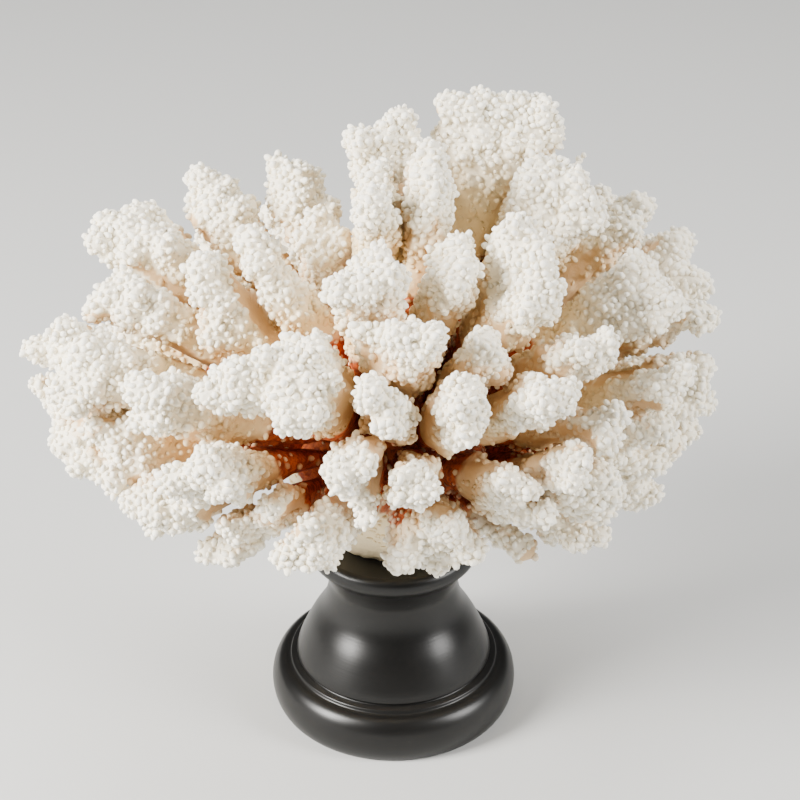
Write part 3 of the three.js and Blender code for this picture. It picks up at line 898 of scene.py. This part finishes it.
class StageSettings(bpy.types.PropertyGroup):
    """The camera, the light and the floor."""

    distance: length_setting("Camera distance", "From what the camera looks at", 0.9)
    elevation: bpy.props.FloatProperty(
        name="Camera elevation", description="Above the horizon", default=math.radians(32), unit="ROTATION")
    lens: bpy.props.FloatProperty(name="Lens", description="Focal length in mm", default=126.7)
    room_light: bpy.props.FloatProperty(name="Room light", description="Light from all sides", default=0.14)
    floor_colour: colour_setting("Floor", "The plain pale floor", (0.5, 0.5, 0.49, 1))


# What the camera looks at, near the object's middle, and how far the floor runs on around it
CAMERA_TARGET = Vector((2.2 * MM, 0, 116.3 * MM))
FLOOR_HALF_WIDTH = 4
SENSOR_WIDTH_MM = 36
ROOM_COLOUR = (0.80, 0.82, 0.85, 1)

# Each lamp's name, place and size in metres, power in watts and colour
SOFTBOXES = (
    ("left_softbox", (-0.75, -0.35, 0.55), (0.35, 0.5), 40, (1, 0.98, 0.94)),
    ("right_softbox", (0.8, -0.3, 0.5), (0.35, 0.5), 15, (1, 0.99, 0.97)),
    ("top_softbox", (0, 0.35, 0.95), (0.7, 0.5), 8, (1, 1, 1)),
)


def add_camera(settings):
    """The camera at the photo's angle."""
    lens = bpy.data.cameras.new("camera")
    lens.lens = settings.lens
    lens.sensor_width = SENSOR_WIDTH_MM
    camera = bpy.data.objects.new("camera", lens)
    back = Vector((0, -math.cos(settings.elevation), math.sin(settings.elevation)))
    camera.location = CAMERA_TARGET + back * settings.distance
    camera.rotation_euler = (-back).to_track_quat("-Z", "Y").to_euler()
    bpy.context.scene.collection.objects.link(camera)
    bpy.context.scene.camera = camera


def add_room(strength):
    """Faint light from all sides."""
    world = bpy.data.worlds.new("pale_room")
    world.use_nodes = True
    background = world.node_tree.nodes["Background"]
    background.inputs["Color"].default_value = ROOM_COLOUR
    background.inputs["Strength"].default_value = strength
    bpy.context.scene.world = world


def add_softbox(name, place, size, power, colour):
    """A large soft lamp that faces the coral."""
    lamp = bpy.data.lights.new(name, "AREA")
    lamp.shape = "RECTANGLE"
    lamp.size = size[0]
    lamp.size_y = size[1]
    lamp.energy = power
    lamp.color = colour
    holder = bpy.data.objects.new(name, lamp)
    holder.location = place
    holder.rotation_euler = (CAMERA_TARGET - Vector(place)).to_track_quat("-Z", "Y").to_euler()
    bpy.context.scene.collection.objects.link(holder)


class CORAL_OT_set_stage(bpy.types.Operator):
    """Adds the camera at the photo's angle, soft studio light and a plain pale floor."""

    bl_idname = "coral.set_stage"
    bl_label = "Set the stage"

    def execute(self, context):
        settings = context.scene.stage_settings
        add_camera(settings)
        for softbox in SOFTBOXES:
            add_softbox(*softbox)
        add_room(settings.room_light)
        tool = bmesh.new()
        bmesh.ops.create_grid(tool, x_segments=8, y_segments=8, size=FLOOR_HALF_WIDTH)
        floor_finish = plain_finish("pale_floor", settings.floor_colour, 0.8)
        floor = show(mesh_of(tool, "floor"), "floor", floor_finish)
        return {"FINISHED"}


class CORAL_PT_panel(bpy.types.Panel):
    """Buttons and settings for the coral on its stand."""

    bl_label = "Branching coral"
    bl_space_type = "VIEW_3D"
    bl_region_type = "UI"
    bl_category = "Coral"

    def draw(self, context):
        for group in ("coral_settings", "stand_settings", "stage_settings"):
            settings = getattr(context.scene, group)
            for name in settings.bl_rna.properties.keys():
                if name not in ("name", "rna_type"):
                    self.layout.prop(settings, name)
        self.layout.operator(CORAL_OT_grow.bl_idname)
        self.layout.operator(CORAL_OT_turn_stand.bl_idname)
        self.layout.operator(CORAL_OT_set_stage.bl_idname)


GROUPS = {"coral_settings": CoralSettings, "stand_settings": StandSettings, "stage_settings": StageSettings}
CLASSES = (*GROUPS.values(), CORAL_OT_grow, CORAL_OT_turn_stand, CORAL_OT_set_stage, CORAL_PT_panel)


def register():
    """Adds the settings, the operators and the panel."""
    for made in CLASSES:
        bpy.utils.register_class(made)
    for name, group in GROUPS.items():
        setattr(bpy.types.Scene, name, bpy.props.PointerProperty(type=group))


def unregister():
    """Takes them away again."""
    for name in GROUPS:
        delattr(bpy.types.Scene, name)
    for made in reversed(CLASSES):
        bpy.utils.unregister_class(made)


def main():
    """Builds every piece and the stage."""
    register()
    bpy.ops.coral.turn_stand()
    bpy.ops.coral.set_stage()
    bpy.ops.coral.grow()


if __name__ == "__main__":
    main()
